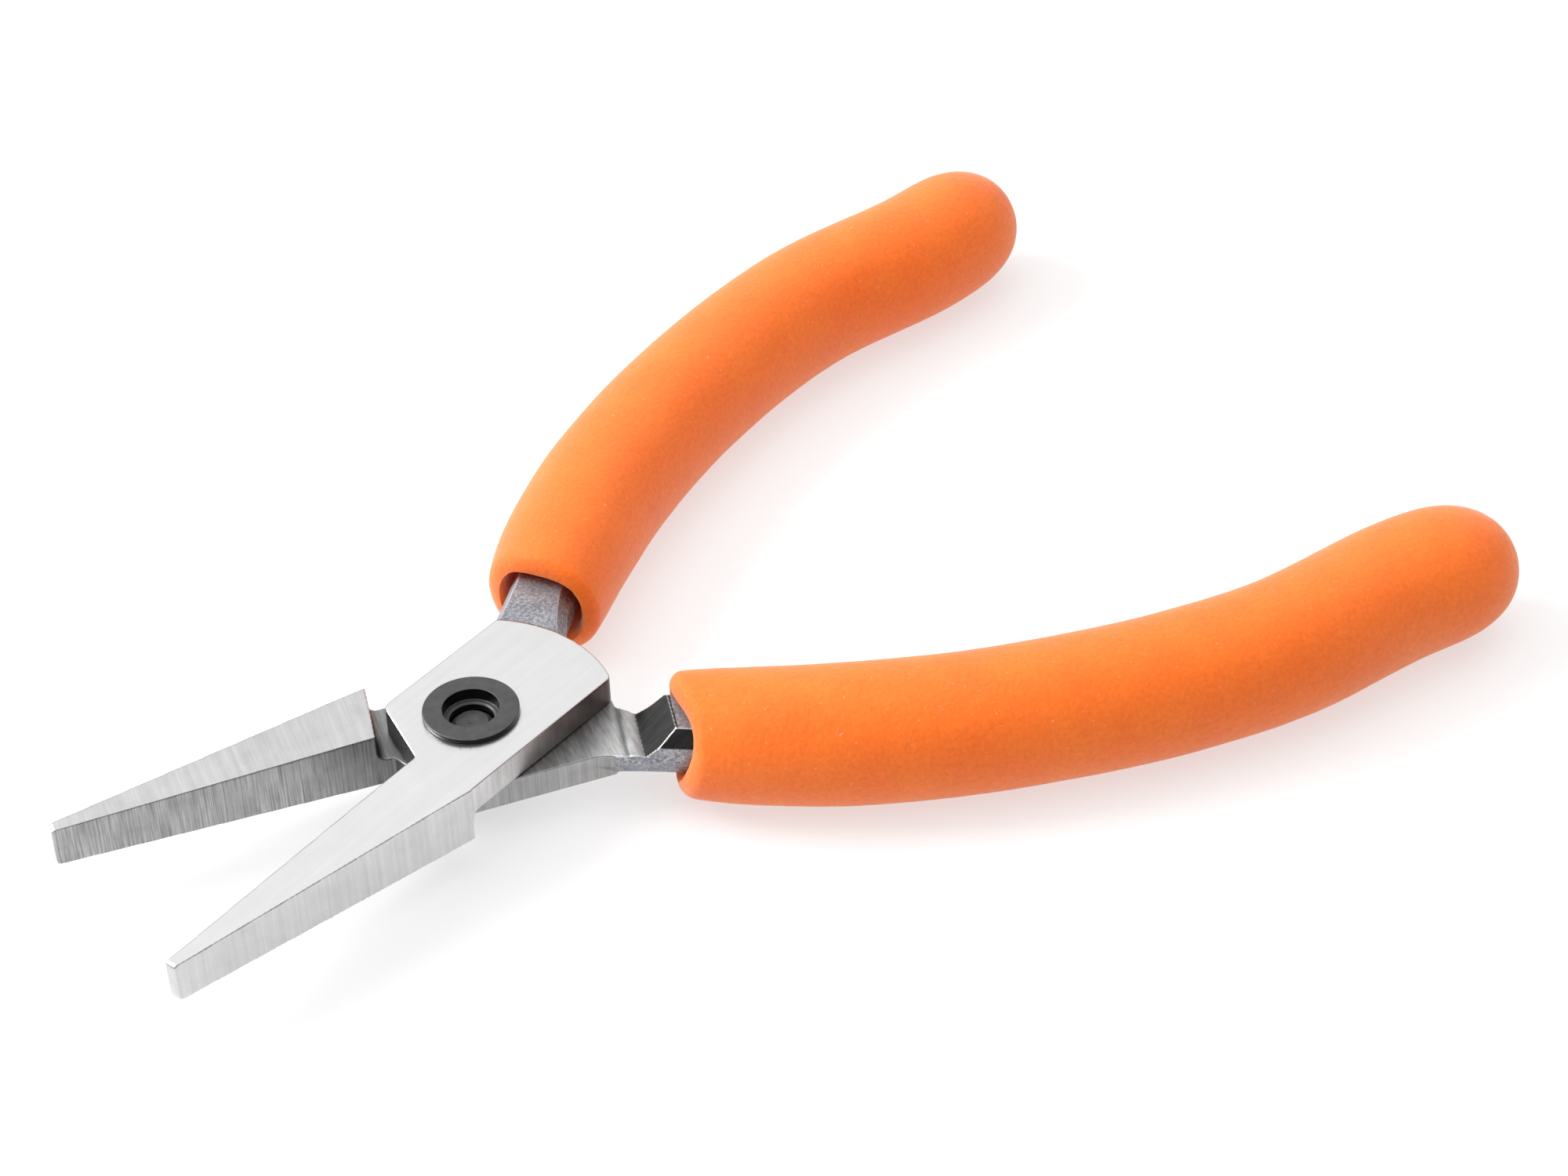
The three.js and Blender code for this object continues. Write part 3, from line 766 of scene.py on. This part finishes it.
def rounded(points, default=0.05, segments=4):
    """A profile whose corners (radius, z, round) are eased by short curves."""
    result = []
    count = len(points)
    for i, (r, z, *ease) in enumerate(points):
        size = ease[0] if ease else default
        here = Vector((r, z))
        if size == 0:
            result.append((r, z))
            continue
        back = Vector(points[i - 1][:2]) - here
        ahead = Vector(points[(i + 1) % count][:2]) - here
        enter = here + back.normalized() * min(size, back.length * 0.45)
        leave = here + ahead.normalized() * min(size, ahead.length * 0.45)
        for k in range(segments + 1):
            t = k / segments
            point = enter * (1 - t) ** 2 + here * 2 * t * (1 - t) + leave * t**2
            result.append((point.x, point.y))
    return result


def thread(radius, low, high, direction):
    """Profile points of a thread's ridges between two heights, from low to high."""
    turns = int((high - low) / THREAD_PITCH)
    points = []
    for i in range(turns):
        z = low + i * THREAD_PITCH
        points.append((radius + direction * THREAD_DEPTH, z + 0.1 * THREAD_PITCH, 0.03))
        points.append((radius, z + 0.5 * THREAD_PITCH, 0.03))
    return points


def make_nut(finishes):
    """Flanged barrel nut: stepped hole, ledge, and an inner thread below it."""
    low, high = (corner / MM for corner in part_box("pivot_nut"))
    flange, face = high.x, high.z
    seat_z = face - FLANGE_THICKNESS
    ledge = face - COUNTERBORE_DEPTH
    outside = [
        (BARREL_RADIUS, low.z),
        (BARREL_RADIUS, seat_z, 0.02),
        (flange - 0.02, seat_z, 0.05),
        (flange, face, 0.17),
    ]
    hole = [
        (COUNTERBORE_RADIUS + 0.03, face, 0.05),
        (COUNTERBORE_RADIUS, ledge, 0.08),
        (NUT_BORE_RADIUS + 0.14, ledge, 0.04),
        (NUT_BORE_RADIUS, ledge - 0.16, 0.05),
    ]
    turns = list(reversed(thread(NUT_BORE_RADIUS, low.z + 0.1, ledge - 0.3, 1)))
    foot = [(NUT_BORE_RADIUS, low.z, 0.05)]
    nut = draft("barrel_nut", lathe(rounded(outside + hole + turns + foot)))
    sort_oxide(nut.data, finishes)
    seat(nut, Matrix.Identity(4), "lower_lever", "pivot_nut")


def make_screw(finishes):
    """Pivot screw: flat head with two spanner holes below, threaded shank up into the nut."""
    low, high = (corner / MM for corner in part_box("pivot_screw"))
    head, top = high.x, high.z
    seat_z = low.z + FLANGE_THICKNESS
    below = [
        (0, low.z, 0),
        (head - 0.16, low.z, 0.1),
        (head, low.z + 0.16, 0.1),
        (head, seat_z, 0.05),
        (SHANK_RADIUS, seat_z, 0.03),
    ]
    turns = thread(SHANK_RADIUS, low.z + 0.9, top - 0.6, -1)
    end = [
        (SHANK_RADIUS, top - 0.45, 0.06),
        (SHANK_TIP_RADIUS + 0.04, top - 0.30, 0.06),
        (SHANK_TIP_RADIUS, top, 0.08),
        (0.45, top, 0.1),
        (0.25, top - 0.05, 0.1),
        (0, top - 0.05, 0),
    ]
    screw = draft("pivot_bolt", lathe(rounded(below + turns + end)))
    for side in (-1, 1):
        drill_spanner_hole(screw, Vector((side * SPANNER_HOLE_OFFSET, 0, low.z)))
    sort_oxide(screw.data, finishes)
    seat(screw, Matrix.Identity(4), "lower_lever", "pivot_screw")


def drill_spanner_hole(piece, mouth):
    bm = bmesh.new()
    bmesh.ops.create_cone(
        bm,
        cap_ends=True,
        segments=48,
        radius1=SPANNER_HOLE_RADIUS,
        radius2=SPANNER_HOLE_RADIUS * 0.94,
        depth=2 * SPANNER_HOLE_DEPTH,
        matrix=Matrix.Translation(mouth),
    )
    drill = draft("drill", bm)
    cut = piece.modifiers.new("hole", "BOOLEAN")
    cut.operation = "DIFFERENCE"
    cut.object = drill
    apply_modifiers(piece)
    bpy.data.objects.remove(drill)


# ---- build ----------------------------------------------------------------------------------

make_camera()
make_studio()

lever_finishes = {name: make() for name, make in FINISHES.items()}
foam = foam_skin()
black = oxide_finishes()
make_lever("upper", UPPER_FRAME, lever_finishes)
make_lever("lower", LOWER_FRAME, lever_finishes)
make_grip("upper", UPPER_FRAME, foam, seed=3.0)
make_grip("lower", LOWER_FRAME, foam, seed=11.0)
make_nut(black)
make_screw(black)
